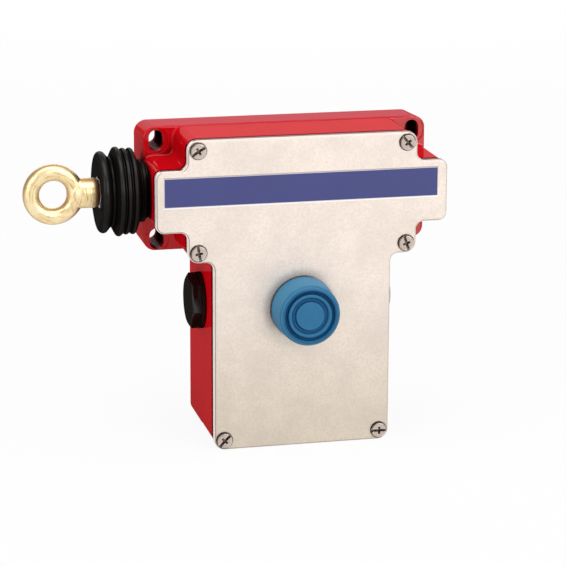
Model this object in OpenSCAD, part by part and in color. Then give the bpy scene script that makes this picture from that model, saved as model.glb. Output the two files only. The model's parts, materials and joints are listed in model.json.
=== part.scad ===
// Rope pull switch with a T-shaped casing, a latching mechanism and a reset button.
// Frame: the wall face of the casing is the plane y = 0 and the front looks along -y; z is up, with
// z = 0 midway between the upper and lower fixing slots, and x = 0 is the casing's middle plane.
// Heights (h) are measured up from the casing's bottom edge, depths (d) back from the cover's face.

/* [Casing] */
// Height of the casing from bottom edge to top edge
casing_h = 142; // [136:1:150]
// Depth from the cover's front face to the wall face
casing_d = 57.5; // [56:0.5:64]
// Half width of the upper block that carries the upper screws
upper_half_w = 51.9; // [51:0.1:53]
// Half width across the wings
wing_half_w = 66; // [65:0.1:68]
// Half width of the lower body
lower_half_w = 40.3; // [39.5:0.1:42]
// Height of the wings' lower edge
wing_low_h = 100.9; // [99:0.1:102]
// Height of the wings' upper edge
wing_top_h = 128.8; // [127:0.1:130]
// Height of the upper block's lower edge
upper_low_h = 86.9; // [86:0.1:88]
// Radius of the corners around the cover screws
screw_corner_r = 4.9; // [4:0.1:6]
// Radius of the wing corners
wing_corner_r = 3.7; // [2:0.1:4.5]
// Radius of the inner corners of the outline
inner_corner_r = 3.5; // [2.5:0.1:4.5]
// Thickness of the cast walls
wall_t = 3; // [2.5:0.1:3.5]
// Thickness of the cast back
back_t = 3.2; // [2.6:0.1:4]
// Step of the casting's side inside the cover's edge
casing_inset = 0.4; // [0.1:0.1:0.6]

/* [Fixing lugs] */
// Depth at which the lugs begin
lug_d = 35; // [33:0.5:37]
// Half width across the lugs
lug_half_w = 65.5; // [65:0.1:65.6]
// Height of the lugs' lower edge
lug_low_h = 84.9; // [84.5:0.1:85.2]
// Radius of the lugs' outer corners
lug_corner_r = 5.5; // [4:0.5:6]
// Radius of the lugs' front edges
lug_edge_r = 1.2; // [0.5:0.1:1.5]
// Radius of the fillet where a lug meets the casing's side
lug_fillet_r = 0.9; // [0.6:0.1:2]
// Fall of the top face from the parting line to the wall
top_fall = 1.2; // [0:0.1:1.5]
// Sideways distance of the slots from the middle
slot_x = 59.3; // [58.8:0.1:59.6]
// Height of the upper slots' centres
slot_top_h = 135.3; // [135:0.1:135.5]
// Distance between upper and lower slot centres
slot_pitch = 45; // [44.8:0.1:45.2]
// Width of a slot, for an M6 screw
slot_w = 6.5; // [6.2:0.1:6.8]
// End to end length of a slot
slot_l = 9.6; // [9:0.1:10]

/* [Cover] */
// Thickness of the cover plate
cover_t = 3; // [2.5:0.1:3.5]
// Radius of the cover's rolled front edge
cover_edge_r = 0.9; // [0.4:0.1:1.2]
// Thickness of the cover seal
gasket_t = 1.5; // [1:0.1:2]
// Lower edge of the blue stripe
stripe_low_h = 112.5; // [112:0.05:113]
// Height of the blue stripe
stripe_h = 13.05; // [12:0.05:13.5]
// Length of the blue stripe
stripe_l = 123.9; // [120:0.1:125]
// Radius of a cover screw's head
cover_screw_head_r = 3.5; // [3.3:0.05:3.8]

/* [Pull rod] */
// Height of the rod's axis
rod_h = 114.7; // [114:0.1:115.5]
// Depth of the rod's axis
rod_d = 28; // [27:0.1:29]
// Radius of the rod
rod_r = 5; // [4.5:0.1:5]
// Distance of the eye's centre from the middle plane
eye_x = 106.9; // [104:0.1:110]
// Outer radius of the eye
eye_r = 13.7; // [13:0.1:14.5]
// Radius of the hole in the eye
eye_hole_r = 6.2; // [5.5:0.1:6.5]
// Radius of the eye bolt's shank
shank_r = 6.7; // [6:0.1:7]
// Distance of the shank's end face from the middle plane
shank_end_x = 86.3; // [85:0.1:87]

/* [Mechanism] */
// Rise of the cone on the cam for each millimetre of rod travel
cam_slope = 0.3; // [0.2:0.05:0.3]
// Radius of the cam at its small end
cam_small_r = 7; // [6.5:0.1:7.5]
// Length of the cam
cam_l = 20; // [18:0.5:22]
// Radius of the roller under the cam
roller_r = 4; // [3.5:0.1:4]
// Sideways distance of each contact block from the middle
contact_x = 15; // [14.5:0.1:16]
// Height above the bottom edge of the contact blocks' tops
contact_top_h = 46.8; // [45:0.1:47]

/* [Reset button] */
// Height of the button's axis
button_h = 64; // [62:0.1:66]
// Radius of the boot at the cover
boot_base_r = 15.2; // [14.5:0.1:16]
// Radius of the boot's face
boot_face_r = 13.4; // [13:0.1:14]
// Height of the boot above the cover
boot_h = 14.5; // [14:0.1:16]

/* [Cable entries] */
// Height of the entries' axis
entry_h = 61.9; // [60:0.1:64]
// Depth of the entries' axis
entry_d = 31; // [26:0.1:33]
// Radius of the M20 entry
entry_r = 10; // [9.8:0.1:10.2]
// Width across the flats of a plug's head
plug_flats = 22; // [21:0.5:23]
// Height of a plug's head above its flange
plug_head_h = 4.4; // [4:0.1:6]
// Turn of a plug's hexagon as it was tightened
plug_turn = 17; // [0:1:59]

/* [Hidden] */
$fn = 48;

eps = 0.01;
gap = 0.3;                       // space left between pieces that move apart
fit = 0.05;                      // radial clearance of a running fit
fixing_h = slot_top_h - slot_pitch / 2;
inner_front_d = cover_t + gasket_t;     // depth of the casting's front rim
cavity_back_d = casing_d - back_t;      // depth of the cavity's floor
fall_angle = atan(top_fall / (casing_d - lug_d));
cover_screw_inset = 4.7;
cover_screw_places = [
    [upper_half_w - cover_screw_inset, casing_h - cover_screw_inset],
    [upper_half_w - cover_screw_inset, upper_low_h + 4.6],
    [lower_half_w - 4.5, 4.5]
];
cover_screw_angles = [32, -50, 100, 108, 46, 0];
boss_r = 4.6;
thread_r = 2;

bush_r = 7;
bush_flange_r = 10;
bush_len = 16;
wing_end_x = wing_half_w - casing_inset;   // distance of the wing's end wall from the middle
left_bush_x = -wing_end_x + 3;          // outer end of the left bush
right_wall_x = 44;                      // left face of the inner wall that carries the right bush
right_wall_t = 5;
collar_x = -14;
collar_t = 4;
cam_x = -8;
roller_drop = cam_small_r - cam_slope * cam_x + roller_r * sqrt(1 + cam_slope * cam_slope) + gap;
roller_h = rod_h - roller_drop;
yoke_h = [roller_h - 10.6, roller_h + 2.5];
yoke_half = [5, 7];
stem_half = [4, 3];
bar_h = [contact_top_h + 4.5, contact_top_h + 8.5];
bar_half = [24, 5];
ear_top_h = yoke_h[0] - 3.5;
ear_low_h = bar_h[1] + 4.5;
ear_t = 2;
latch_h = ear_top_h - 7;
latch_d = rod_d - 11;
latch_pin_r = 2;
latch_nose_r = 2;                // rounded end that the button pushes
plunger_r = 2;
block_size = [21, 22, 30];
plate_d = rod_d + 14;
contact_screw_places = [[-6.5, -2], [6.5, -25]];
boot_end_t = 3.3;                // thickness of the boot's ringed end
bush_barrel_r = 11;
stem_r = 5;
stem_end_d = latch_d - 1.5 - latch_nose_r - gap;

function y_at(d) = d - casing_d;
function z_at(h) = h - fixing_h;
function cover_screw_centres() =
    [for (place = cover_screw_places) for (side = [-1, 1]) [side * place[0], place[1]]];

// Places children with their own +z along +x, at side x, depth d and height h
module along_x(x, d, h) {
    translate([x, y_at(d), z_at(h)]) rotate([0, 90, 0]) children();
}

// Places children with their own +z towards the front
module to_front(x, d, h) {
    translate([x, y_at(d), z_at(h)]) rotate([90, 0, 0]) children();
}

// Places children with their own +z up
module upright(x, d, h) {
    translate([x, y_at(d), z_at(h)]) children();
}

// A flat plate from depth d to depth d + t, cut from an outline drawn in x and h
module plate(d, t) {
    to_front(0, d + t, 0) linear_extrude(t) children();
}

// A box given by its limits in x, depth and height
module span_box(x, d, h) {
    translate([x[0], y_at(d[0]), z_at(h[0])]) cube([x[1] - x[0], d[1] - d[0], h[1] - h[0]]);
}

// The unit vector from a to b
function towards(a, b) = (b - a) / norm(b - a);

// Points of the arc that rounds corner b, between a and c, with radius r
function corner_arc(a, b, c, r, steps = 6) =
    let (
        u = towards(b, a), v = towards(b, c),
        half = acos(u * v) / 2,
        centre = b + towards([0, 0], u + v) * r / sin(half),
        start = b + u * r / tan(half) - centre,
        finish = b + v * r / tan(half) - centre,
        turn = 180 - 2 * half,
        way = start[0] * finish[1] - start[1] * finish[0] > 0 ? 1 : -1
    )
    [for (i = [0 : steps]) let (angle = way * turn * i / steps)
        centre + [start[0] * cos(angle) - start[1] * sin(angle), start[0] * sin(angle) + start[1] * cos(angle)]];

// An outline of [x, y, corner radius] points with its corners rounded
function rounded_profile(points) = [
    for (i = [0 : len(points) - 1])
        let (
            b = points[i],
            a = points[(i + len(points) - 1) % len(points)],
            c = points[(i + 1) % len(points)]
        )
        each b[2] == 0 ? [[b[0], b[1]]] : corner_arc([a[0], a[1]], [b[0], b[1]], [c[0], c[1]], b[2])
];

module ring(outer_r, inner_r, t) {
    difference() {
        cylinder(r = outer_r, h = t);
        translate([0, 0, -1]) cylinder(r = inner_r, h = t + 2);
    }
}

// A coil spring drawn as closed rings joined by its pitch: a stack of tori on a thin wall
module coil_spring(outer_r, wire_r, length, turns) {
    pitch = (length - 2 * wire_r) / turns;
    mid_r = outer_r - wire_r;
    union() {
        for (i = [0 : turns]) translate([0, 0, wire_r + i * pitch])
            rotate_extrude() translate([mid_r, 0]) circle(wire_r, $fn = 20);
        for (a = [0, 180]) rotate([0, 0, a])
            translate([mid_r, 0, wire_r]) cylinder(r = wire_r * 0.8, h = turns * pitch, $fn = 20);
    }
}

module rounded_rect(w, h, r) {
    square([w - 2 * r, h], center = true);
    square([w, h - 2 * r], center = true);
    for (x = [-1, 1], y = [-1, 1]) translate([x * (w / 2 - r), y * (h / 2 - r)]) circle(r);
}

// One block of the T outline, drawn in x and h and set in by inset on every side
module outline_block(half_w, low, top, r, inset) {
    translate([0, (low + top) / 2])
        rounded_rect(2 * (half_w - inset), top - low - 2 * inset, max(r - inset, 0.6));
}

// The fill of an inner corner at (x, y), open towards side and rise
module corner_fill(x, y, side, rise, r) {
    translate([x, y]) difference() {
        translate([side > 0 ? -1 : -r, rise > 0 ? -1 : -r]) square(r + 1);
        translate([side * r, rise * r]) circle(r);
    }
}

// Inner corners of the T outline as [half width, height, rise]
inner_corners = [
    [upper_half_w, wing_top_h, 1], [upper_half_w, wing_low_h, -1], [lower_half_w, upper_low_h, -1]
];

module casing_outline(inset) {
    outline_block(upper_half_w, upper_low_h, casing_h, screw_corner_r, inset);
    outline_block(wing_half_w, wing_low_h, wing_top_h, wing_corner_r, inset);
    outline_block(lower_half_w, 0, wing_low_h, screw_corner_r, inset);
    for (corner = inner_corners, side = [-1, 1])
        corner_fill(side * (corner[0] - inset), corner[1] - corner[2] * inset, side, corner[2],
            inner_corner_r + inset);
}

// Half section of a plate with thickness t whose top edge is rounded by e
module edge_section(r, t, e) {
    square([r, t - e]);
    square([r - e, t]);
    translate([r - e, t - e]) circle(e, $fn = 24);
}

module full_section(w, t, e) {
    for (side = [0, 1]) mirror([side, 0]) edge_section(w / 2, t, e);
}

// A rounded rectangular plate with a rolled top edge
module rolled_block(half_w, low, top, r, t, e) {
    translate([0, (low + top) / 2, 0]) {
        rotate([90, 0, 90]) linear_extrude(2 * (half_w - r), center = true) full_section(top - low, t, e);
        rotate([90, 0, 0]) linear_extrude(top - low - 2 * r, center = true) full_section(2 * half_w, t, e);
        for (x = [-1, 1], y = [-1, 1])
            translate([x * (half_w - r), y * ((top - low) / 2 - r), 0]) rotate_extrude() edge_section(r, t, e);
    }
}

// The fill of an inner corner with the same rolled edge
module rolled_corner(x, y, side, rise, r, t, e) {
    translate([x, y, 0]) difference() {
        translate([side > 0 ? -2 : -r, rise > 0 ? -2 : -r, 0]) cube([r + 2, r + 2, t - eps]);
        translate([side * r, rise * r, 0]) rotate_extrude() difference() {
            translate([0, -1]) square([r + e, t + 2]);
            translate([r + e, t - e]) circle(e, $fn = 24);
            translate([r, -2]) square([e + 1, t - e + 2]);
        }
    }
}

/* ---- casing ---- */

// The T outline as a thick plate with a rolled front edge, set in by inset
module rolled_outline(inset, t, e) {
    rolled_block(upper_half_w - inset, upper_low_h + inset, casing_h - inset, screw_corner_r, t, e);
    rolled_block(wing_half_w - inset, wing_low_h + inset, wing_top_h - inset, wing_corner_r, t, e);
    rolled_block(lower_half_w - inset, inset, wing_low_h + 8, screw_corner_r, t, e);
    for (corner = inner_corners, side = [-1, 1])
        rolled_corner(side * (corner[0] - inset), corner[1] - corner[2] * inset, side, corner[2],
            inner_corner_r, t, e);
}

module tub() {
    to_front(0, lug_d + 2, 0) rolled_outline(casing_inset, lug_d + 2 - inner_front_d, 0.5);
}

// Half section of a fillet that widens a block by f at its own z = 0 and dies out at z = f
module flare_section(r, f) {
    difference() {
        square([r + f, f]);
        translate([r + f, f]) circle(f, $fn = 24);
    }
}

// A rounded rectangular foot whose sides flare out by f
module flared_block(half_w, low, top, r, f) {
    translate([0, (low + top) / 2, 0]) {
        rotate([90, 0, 90]) linear_extrude(2 * (half_w - r), center = true)
            for (side = [0, 1]) mirror([side, 0]) flare_section((top - low) / 2, f);
        rotate([90, 0, 0]) linear_extrude(top - low - 2 * r, center = true)
            for (side = [0, 1]) mirror([side, 0]) flare_section(half_w, f);
        for (x = [-1, 1], y = [-1, 1])
            translate([x * (half_w - r), y * ((top - low) / 2 - r), 0]) rotate_extrude() flare_section(r, f);
    }
}

// The flare of an inner corner, where the fillet runs round the corner's own centre
module flared_corner(x, y, side, rise, r, f) {
    translate([x, y, 0]) difference() {
        translate([side > 0 ? -2 : -r, rise > 0 ? -2 : -r, 0]) cube([r + 2, r + 2, f]);
        translate([side * r, rise * r, 0]) rotate_extrude() {
            translate([0, -1]) square([r - f, f + 2]);
            translate([r - f, f]) circle(f, $fn = 24);
            translate([0, f]) square([r, 1]);
        }
    }
}

// The fillets between the lugs' front faces and the casing's sides
module lug_fillets() {
    inset = casing_inset;
    intersection() {
        to_front(0, lug_d, 0) {
            flared_block(upper_half_w - inset, upper_low_h + inset, casing_h - inset, screw_corner_r, lug_fillet_r);
            flared_block(wing_half_w - inset, wing_low_h + inset, wing_top_h - inset, wing_corner_r, lug_fillet_r);
            for (corner = [inner_corners[0], inner_corners[1]], side = [-1, 1])
                flared_corner(side * (corner[0] - inset), corner[1] - corner[2] * inset, side, corner[2],
                    inner_corner_r, lug_fillet_r);
        }
        plate(lug_d - lug_fillet_r - 1, lug_fillet_r + 2) translate([0, (lug_low_h + casing_h) / 2])
            rounded_rect(2 * (lug_half_w - lug_edge_r), casing_h - lug_low_h - 2 * lug_edge_r,
                lug_corner_r - lug_edge_r);
    }
}

// The rear part of the casting, with the lugs; its top falls towards the wall
module rear_block() {
    intersection() {
        union() {
            to_front(0, casing_d, 0)
                rolled_block(lug_half_w, lug_low_h, casing_h, lug_corner_r, casing_d - lug_d, lug_edge_r);
            plate(lug_d, casing_d - lug_d) {
                outline_block(lower_half_w, 0, wing_low_h, screw_corner_r, casing_inset);
                for (side = [-1, 1])
                    corner_fill(side * (lower_half_w - casing_inset), lug_low_h, side, -1, inner_corner_r);
            }
        }
        upright(0, lug_d, casing_h) rotate([-fall_angle, 0, 0]) rotate([90, 0, 0])
            linear_extrude(4 * casing_d, center = true) translate([0, -casing_h])
                rounded_rect(2 * lug_half_w, 2 * casing_h, lug_corner_r + 0.2);
    }
}

// The hollow inside, less the pillars that take the cover screws and the wall for the right bush
module cavity() {
    difference() {
        plate(inner_front_d - 1, cavity_back_d - inner_front_d + 1) difference() {
            casing_outline(wall_t + casing_inset);
            for (centre = cover_screw_centres()) translate(centre) circle(boss_r);
        }
        span_box([right_wall_x, right_wall_x + right_wall_t], [18, casing_d], [wing_low_h, wing_top_h]);
        for (side = [-1, 1])
            along_x(side * lower_half_w, entry_d, entry_h) rotate([0, side < 0 ? 0 : 180, 0])
                cylinder(r = entry_r + 2.6, h = 7.5);
        along_x(-wing_half_w, rod_d, rod_h) cylinder(r = bush_r + 3, h = 16);
    }
}

// Pillars on the cavity's floor: [x, height, front depth, outer radius, hole radius]
function floor_pillars() = concat(
    [for (side = [-1, 1]) [side * 11, latch_h - 7, rod_d + 17, 4, 1.5]],
    [for (side = [-1, 1]) for (place = contact_screw_places)
        [side * (contact_x + place[0]), contact_top_h + place[1], plate_d + 1.5, 3.5, 1.5]],
    [[0, 11, plate_d + 4, 4.5, thread_r]]
);

module fixing_slot(x, h) {
    to_front(x, casing_d + 1, h) {
        linear_extrude(casing_d) rounded_slot(slot_w, slot_l);
        translate([0, 0, casing_d - lug_d + 0.4]) linear_extrude(20) rounded_slot(slot_w + 4.5, slot_l + 2.2);
    }
}

module rounded_slot(w, l) {
    square([w, l - w], center = true);
    for (y = [-1, 1]) translate([0, y * (l - w) / 2]) circle(w / 2);
}

module housing() color("firebrick") {
    difference() {
        union() {
            difference() {
                union() {
                    tub();
                    rear_block();
                    lug_fillets();
                }
                cavity();
            }
            for (p = floor_pillars()) to_front(p[0], cavity_back_d + eps, p[1])
                cylinder(r = p[3], h = cavity_back_d - p[2]);
        }
        for (p = floor_pillars()) to_front(p[0], cavity_back_d, p[1]) cylinder(r = p[4], h = 40);
        for (centre = cover_screw_centres()) to_front(centre[0], inner_front_d + 14, centre[1])
            cylinder(r = thread_r, h = 20);
        for (side = [-1, 1], rise = [-1, 1]) fixing_slot(side * slot_x, fixing_h + rise * slot_pitch / 2);
        for (side = [-1, 1]) along_x(side * (lower_half_w + 5), entry_d, entry_h)
            rotate([0, side < 0 ? 0 : 180, 0]) cylinder(r = entry_r, h = 20);
        along_x(-wing_half_w - 1, rod_d, rod_h) {
            cylinder(r = bush_r, h = 20);
            cylinder(r = bush_flange_r - 1, h = wing_half_w + left_bush_x + 1);
        }
        along_x(right_wall_x - 1, rod_d, rod_h) cylinder(r = bush_r, h = right_wall_t + 2);
    }
}

module front_cover() color("lightgray") {
    difference() {
        to_front(0, cover_t, 0) rolled_outline(0, cover_t, cover_edge_r);
        for (centre = cover_screw_centres()) to_front(centre[0], cover_t + 1, centre[1]) {
            cylinder(r = thread_r + 0.3, h = 10);
            translate([0, 0, cover_t + 1 - 1.2]) cylinder(r = cover_screw_head_r + 0.4, h = 5);
        }
        to_front(0, cover_t + 1, button_h) cylinder(r = bush_barrel_r + 0.1, h = 10);
    }
}

module cover_gasket() color("dimgray") {
    plate(cover_t, gasket_t) difference() {
        casing_outline(1.1);
        casing_outline(wall_t + casing_inset);
        for (centre = cover_screw_centres()) translate(centre) circle(thread_r + 0.3);
    }
}

// A pan head screw with a slot and a cross; its head's underside is at its own z = 0
module combined_screw(head_r, head_t, thread, length, angle) {
    difference() {
        union() {
            rotate_extrude() edge_section(head_r, head_t, 0.5);
            translate([0, 0, -length]) cylinder(r = thread - fit, h = length + eps);
        }
        rotate([0, 0, angle]) translate([0, 0, head_t]) {
            cube([2 * head_r + 1, head_r * 0.34, head_t * 0.95], center = true);
            for (turn = [0, 90]) rotate([0, 0, turn])
                cube([head_r * 0.95, head_r * 0.28, head_t * 1.3], center = true);
        }
    }
}

module cover_screws() color("silver") {
    centres = cover_screw_centres();
    for (i = [0 : len(centres) - 1]) to_front(centres[i][0], 1.2, centres[i][1])
        combined_screw(cover_screw_head_r, 2.3, thread_r, 14, cover_screw_angles[i]);
}

module label_strip() color("darkslateblue") {
    to_front(-0.46, 0, stripe_low_h + stripe_h / 2) linear_extrude(0.2)
        rounded_rect(stripe_l, stripe_h, 0.6);
}

/* ---- reset button ---- */

// Outer half profile of the boot with its ringed face, from the cover up
module boot_outer() {
    rim_r = 1.6;
    difference() {
        union() {
            polygon([[0, 0], [boot_base_r, 0], [boot_base_r, 1], [boot_face_r + 0.3, boot_h - rim_r],
                [0, boot_h - rim_r]]);
            square([boot_face_r + 0.3 - rim_r, boot_h]);
            translate([boot_face_r + 0.3 - rim_r, boot_h - rim_r]) circle(rim_r, $fn = 32);
        }
        translate([9.8, boot_h - 2.3]) square([1.75, 4]);
        translate([6.45, boot_h - 1.3]) square([1.95, 4]);
    }
}

module button_boot() color("steelblue") {
    to_front(0, 0, button_h) rotate_extrude($fn = 64) difference() {
        boot_outer();
        polygon([[-1, -1], [13.3, -1], [13.3, 2], [11.8, boot_h - boot_end_t], [-1, boot_h - boot_end_t]]);
    }
}

module button_head() color("slategray") {
    top = boot_h - boot_end_t - gap;
    head_t = 3.2;
    to_front(0, 0, button_h) {
        translate([0, 0, top - head_t]) rotate_extrude() edge_section(11.3, head_t, 1);
        difference() {
            translate([0, 0, -stem_end_d]) cylinder(r = stem_r, h = top - head_t + stem_end_d + eps);
            translate([0, 0, -12.1]) ring(8, stem_r - 0.6, 0.9);
        }
    }
}

module button_bushing() color("gray") {
    to_front(0, 0, button_h) difference() {
        union() {
            cylinder(r = 12.4, h = 3);
            translate([0, 0, -11]) cylinder(r = bush_barrel_r, h = 12);
        }
        translate([0, 0, -12]) cylinder(r = stem_r + fit, h = 20);
        translate([0, 0, -5.5]) cylinder(r = 8.5, h = 20);
    }
}

module button_nut() color("darkgray") {
    to_front(0, cover_t + 3, button_h) difference() {
        cylinder(r = 15.5, h = 3, $fn = 6);
        translate([0, 0, -1]) cylinder(r = bush_barrel_r, h = 5);
    }
}

module button_spring() color("silver") {
    to_front(0, 5.5 - 0.1, button_h) coil_spring(8, 0.7, 12.9, 4);
}

module button_circlip() color("dimgray") {
    to_front(0, 12, button_h) difference() {
        ring(6.6, stem_r - 0.6, 0.7);
        translate([0, -5, 0]) cube([5, 8, 4], center = true);
    }
}

/* ---- cable entries ---- */

// A hexagonal plug with a round flange; its flange seats at its own z = 0
module blanking_plug() {
    difference() {
        union() {
            translate([0, 0, -8]) cylinder(r = entry_r - fit, h = 8.5);
            cylinder(r = 12.9, h = 1.4);
            intersection() {
                rotate([0, 0, plug_turn]) cylinder(r = plug_flats / sqrt(3), h = 1.4 + plug_head_h, $fn = 6);
                rotate_extrude() polygon([
                    [0, 0], [12.9, 0], [12.9, 1.4 + plug_head_h - 1.2],
                    [10.7, 1.4 + plug_head_h], [0, 1.4 + plug_head_h]
                ]);
            }
        }
        translate([0, 0, -9]) cylinder(r = entry_r - 2, h = 9);
    }
}

module entry_part(side) {
    translate([side * (lower_half_w - casing_inset), y_at(entry_d), z_at(entry_h)])
        rotate([0, side * 90, 0]) children();
}

module blanking_plug_left() color("black") entry_part(-1) translate([0, 0, 0.5]) blanking_plug();
module blanking_plug_right() color("black") entry_part(1) translate([0, 0, 0.5]) blanking_plug();
module plug_seal_left() color("dimgray") entry_part(-1) ring(12.2, entry_r, 0.5);
module plug_seal_right() color("dimgray") entry_part(1) ring(12.2, entry_r, 0.5);

/* ---- pull rod and bellows ---- */

// Half section of the bellows as [radius, distance from the wing end, rounding]: a ribbed collar, three
// close folds, a deep groove and the dished outer fold with its lip
bellows_section = [
    [12.4, 0, 0], [12.4, 1.2, 0.3], [13.9, 1.5, 0.3], [14.1, 2.6, 0.3], [13.6, 3.4, 0.3], [15.6, 4.5, 0.5],
    [21.2, 6.75, 1.1], [17.4, 8.2, 0.4], [21.1, 9.8, 1.1], [17.6, 11.3, 0.4],
    [22.1, 12.8, 1.3], [15.1, 16.3, 0.8], [20.8, 21.1, 2],
    [15, 22.2, 1], [11, 18.9, 1], [8.2, 19.2, 0.4], [8, 17.8, 0.3], [12, 16.8, 1],
    [13.2, 16.2, 0.8], [13, 14.8, 1], [17.4, 12.4, 0.8], [15.6, 11.3, 0.5], [16.6, 9.8, 0.6], [15.4, 8.2, 0.5],
    [16.4, 6.7, 0.6], [12, 5, 1], [10.4, 2, 1], [10.4, 0, 0]
];

module bellows() color("#202020") {
    translate([-wing_end_x, y_at(rod_d), z_at(rod_h)]) rotate([0, -90, 0]) rotate_extrude($fn = 64)
        polygon(rounded_profile(bellows_section));
}

// Guide bush, its flange towards its own +z
module guide_bush(length) {
    difference() {
        union() {
            cylinder(r = bush_r - 0.02, h = length);
            translate([0, 0, length - 1.6]) cylinder(r = bush_flange_r, h = 1.6);
        }
        translate([0, 0, -1]) cylinder(r = rod_r + fit, h = length + 2);
    }
}

module guide_bush_left() color("peru") along_x(left_bush_x, rod_d, rod_h) guide_bush(bush_len + 1);
module guide_bush_right() color("peru") along_x(right_wall_x, rod_d, rod_h)
    translate([0, 0, right_wall_t]) guide_bush_flush();

// The right bush has its flange against the inner wall's right face
module guide_bush_flush() {
    difference() {
        union() {
            translate([0, 0, -right_wall_t]) cylinder(r = bush_r - 0.02, h = right_wall_t + 1.6);
            cylinder(r = bush_flange_r, h = 1.6);
        }
        translate([0, 0, -right_wall_t - 1]) cylinder(r = rod_r + fit, h = right_wall_t + 4);
    }
}

module eye_bolt() color("goldenrod") {
    bar_r = (eye_r - eye_hole_r) / 2;
    difference() {
        union() {
            to_front(-eye_x, rod_d, rod_h) rotate_extrude($fn = 72) translate([eye_r - bar_r, 0]) circle(bar_r);
            along_x(-eye_x + eye_hole_r + shank_r + 0.4, rod_d, rod_h) {
                sphere(shank_r);
                rotate_extrude() edge_section(shank_r, eye_x - eye_hole_r - shank_r - 0.4 - shank_end_x, 0.6);
            }
        }
        along_x(-shank_end_x - 8.5, rod_d, rod_h) cylinder(r = 4, h = 10);
    }
}

module lock_nut() color("white") {
    along_x(-shank_end_x, rod_d, rod_h) difference() {
        intersection() {
            rotate([0, 0, 20]) cylinder(r = 13 / sqrt(3), h = 5, $fn = 6);
            rotate_extrude() polygon([[0, 0], [6.6, 0], [7.5, 0.5], [7.5, 4.5], [6.6, 5], [0, 5]]);
        }
        translate([0, 0, -1]) cylinder(r = 4, h = 7);
    }
}

module pull_rod() color("silver") {
    rod_left = -shank_end_x + 5;
    rod_right = 57;
    along_x(0, rod_d, rod_h) difference() {
        union() {
            translate([0, 0, rod_left]) cylinder(r = rod_r, h = rod_right - rod_left - 1);
            translate([0, 0, rod_right - 1]) cylinder(r1 = rod_r, r2 = rod_r - 1, h = 1);
            translate([0, 0, -shank_end_x - 7.5]) cylinder(r = 4 - fit, h = 13);
        }
        translate([0, 0, collar_x + collar_t / 2]) rotate([90, 0, 0]) cylinder(r = 1.25, h = 30, center = true);
        translate([0, 0, cam_x + cam_l - 3]) rotate([90, 0, 0]) cylinder(r = 1.25, h = 40, center = true);
    }
}

module spring_collar() color("darkgray") {
    along_x(collar_x, rod_d, rod_h) difference() {
        ring(10, rod_r, collar_t);
        translate([0, 0, collar_t / 2]) rotate([90, 0, 0]) cylinder(r = 1.25, h = 30, center = true);
    }
}

module collar_pin() color("gray") {
    along_x(collar_x + collar_t / 2, rod_d, rod_h) rotate([90, 0, 0]) cylinder(r = 1.25, h = 19, center = true);
}

module rod_spring() color("silver") {
    start = left_bush_x + bush_len + 1;
    along_x(start + 0.1, rod_d, rod_h) coil_spring(9.2, 1.3, collar_x - start - 0.2, 6);
}

// Steel cone whose radius grows by cam_slope for each millimetre towards +x
module trip_cam() color("darkgray") {
    along_x(cam_x, rod_d, rod_h) difference() {
        cylinder(r1 = cam_small_r, r2 = cam_small_r + cam_slope * cam_l, h = cam_l);
        translate([0, 0, -1]) cylinder(r = rod_r, h = cam_l + 2);
        translate([0, 0, cam_l - 3]) rotate([90, 0, 0]) cylinder(r = 1.25, h = 40, center = true);
    }
}

module cam_pin() color("gray") {
    along_x(cam_x + cam_l - 3, rod_d, rod_h) rotate([90, 0, 0]) cylinder(r = 1.25, h = 20, center = true);
}

/* ---- trip carriage and its guide ---- */

module trip_carriage() color("ivory") {
    nose_groove = [yoke_h[0] + 3, yoke_h[0] + 6];
    difference() {
        union() {
            span_box([-yoke_half[0], yoke_half[0]], [rod_d - yoke_half[1], rod_d + yoke_half[1]], yoke_h);
            span_box([-stem_half[0], stem_half[0]], [rod_d - stem_half[1], rod_d + stem_half[1]],
                [bar_h[0], yoke_h[0] + 1]);
            span_box([-bar_half[0], bar_half[0]], [rod_d - bar_half[1], rod_d + bar_half[1]], bar_h);
        }
        span_box([-9, 9], [rod_d - 3.8, rod_d + 3.8], [roller_h - roller_r - 0.8, roller_h + 9]);
        span_box([-9, 9], [rod_d - yoke_half[1] - 1, rod_d - yoke_half[1] + 2.2], nose_groove);
        to_front(0, rod_d + 10, roller_h) cylinder(r = 1.5, h = 20);
    }
}

module follower_roller() color("dimgray") {
    to_front(0, rod_d + 3.5, roller_h) ring(roller_r, 1.5 + fit, 7);
}

module roller_pin() color("silver") {
    to_front(0, rod_d + yoke_half[1] - 0.2, roller_h) cylinder(r = 1.5, h = 2 * yoke_half[1] - 0.4);
}

// U-shaped steel bracket: a back, two ears with square windows and two cheeks for the lever's pin
module guide_bracket() color("slategray") {
    back_d = rod_d + 15;
    front_d = rod_d - 8;
    difference() {
        union() {
            span_box([-16, 16], [back_d, back_d + ear_t], [ear_low_h - ear_t, ear_top_h]);
            for (top = [ear_top_h, ear_low_h])
                span_box([-16, 16], [front_d, back_d + eps], [top - ear_t, top]);
            for (side = [-1, 1]) mirror([side < 0 ? 1 : 0, 0, 0]) {
                span_box([9, 11], [latch_d - 4, back_d + eps], [ear_top_h - 2, ear_top_h]);
                span_box([9, 11], [latch_d - 4, latch_d + 5], [latch_h - 4, ear_top_h]);
            }
        }
        span_box([-stem_half[0] - 0.2, stem_half[0] + 0.2],
            [rod_d - stem_half[1] - 0.2, rod_d + stem_half[1] + 0.2], [ear_low_h - 5, ear_top_h + 5]);
        along_x(-20, latch_d, latch_h) cylinder(r = latch_pin_r, h = 40);
        for (side = [-1, 1]) to_front(side * 11, casing_d, latch_h - 7) cylinder(r = 1.7, h = 30);
    }
}

module bracket_screws() color("silver") {
    for (side = [-1, 1]) to_front(side * 11, rod_d + 15, latch_h - 7) combined_screw(3, 2, 1.5, 8, side * 30);
}

module carriage_spring() color("silver") {
    upright(0, rod_d + 1, contact_top_h - 9.9) coil_spring(3.4, 0.5, 14.2, 6);
}

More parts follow.
